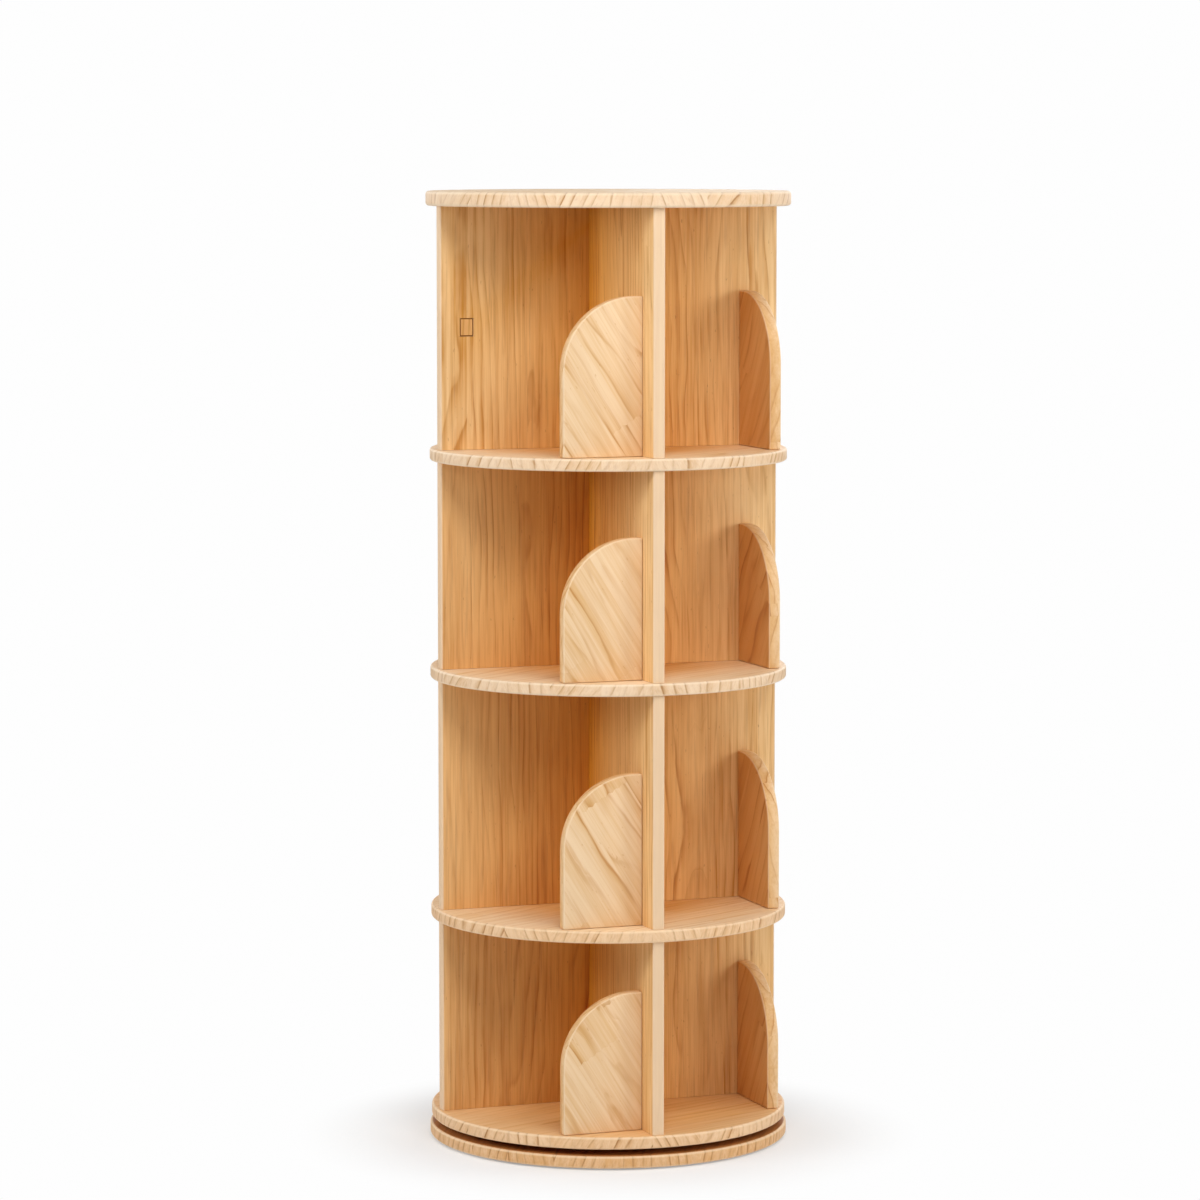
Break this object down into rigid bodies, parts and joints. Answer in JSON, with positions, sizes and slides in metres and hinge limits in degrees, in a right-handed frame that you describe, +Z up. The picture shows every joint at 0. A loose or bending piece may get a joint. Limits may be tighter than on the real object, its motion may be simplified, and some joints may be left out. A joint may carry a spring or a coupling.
{
  "type": "revolving bookcase",
  "caption": "Tall round revolving bookcase: discs stacked on pinwheel divider boards with rounded book guards, turning on a ball-bearing base.",
  "frame": {"origin": "on the turning axis, at floor level under the pads", "axes": "+Z up along the turning axis; the divider boards lie along X and Y at rest; -Y is the front"},
  "size_m": [0.45, 0.45, 1.1773],
  "materials": {
    "disc_pine": "satin lacquered edge-glued pine",
    "divider_pine": "satin lacquered edge-glued pine",
    "guard_pine": "satin lacquered edge-glued pine",
    "patch_pine": "satin lacquered pine",
    "pad_rubber": "matt",
    "ring_aluminium": "satin",
    "ball_steel": "polished",
    "screw_steel": "zinc plated"
  },
  "bodies": {
    "base": {"base_disc": "disc_pine", "foot_pad_1": "pad_rubber", "foot_pad_2": "pad_rubber", "foot_pad_3": "pad_rubber", "foot_pad_4": "pad_rubber", "foot_pad_5": "pad_rubber", "foot_pad_6": "pad_rubber", "fixed_race_ring": "ring_aluminium", "fixed_ring_screw_1": "screw_steel", "fixed_ring_screw_2": "screw_steel", "fixed_ring_screw_3": "screw_steel", "fixed_ring_screw_4": "screw_steel"},
    "cage": {"ball_cage": "ball_steel"},
    "tower": {"turning_race_ring": "ring_aluminium", "turning_ring_screw_1": "screw_steel", "turning_ring_screw_2": "screw_steel", "turning_ring_screw_3": "screw_steel", "turning_ring_screw_4": "screw_steel", "bottom_shelf": "disc_pine", "lower_shelf": "disc_pine", "middle_shelf": "disc_pine", "upper_shelf": "disc_pine", "top_disc": "disc_pine", "divider_bottom_front": "divider_pine", "divider_bottom_right": "divider_pine", "divider_bottom_back": "divider_pine", "divider_bottom_left": "divider_pine", "divider_lower_front": "divider_pine", "divider_lower_right": "divider_pine", "divider_lower_back": "divider_pine", "divider_lower_left": "divider_pine", "divider_upper_front": "divider_pine", "divider_upper_right": "divider_pine", "divider_upper_back": "divider_pine", "divider_upper_left": "divider_pine", "divider_top_front": "divider_pine", "divider_top_right": "divider_pine", "divider_top_back": "divider_pine", "divider_top_left": "divider_pine", "divider_patch": "patch_pine", "guard_bottom_front": "guard_pine", "guard_bottom_right": "guard_pine", "guard_bottom_back": "guard_pine", "guard_bottom_left": "guard_pine", "guard_lower_front": "guard_pine", "guard_lower_right": "guard_pine", "guard_lower_back": "guard_pine", "guard_lower_left": "guard_pine", "guard_upper_front": "guard_pine", "guard_upper_right": "guard_pine", "guard_upper_back": "guard_pine", "guard_upper_left": "guard_pine", "guard_top_front": "guard_pine", "guard_top_right": "guard_pine", "guard_top_back": "guard_pine", "guard_top_left": "guard_pine"}
  },
  "joints": [
    {"name": "turntable_spin", "type": "hinge", "parent": "base", "child": "tower", "pos_m": [0, 0, 0.0213], "axis": [0, 0, 1], "continuous": true},
    {"name": "cage_spin", "type": "hinge", "parent": "base", "child": "cage", "pos_m": [0, 0, 0.0213], "axis": [0, 0, 1], "continuous": true}
  ],
  "couplings": [
    {"joint": "cage_spin", "follows": "turntable_spin", "ratio": 0.4921}
  ]
}
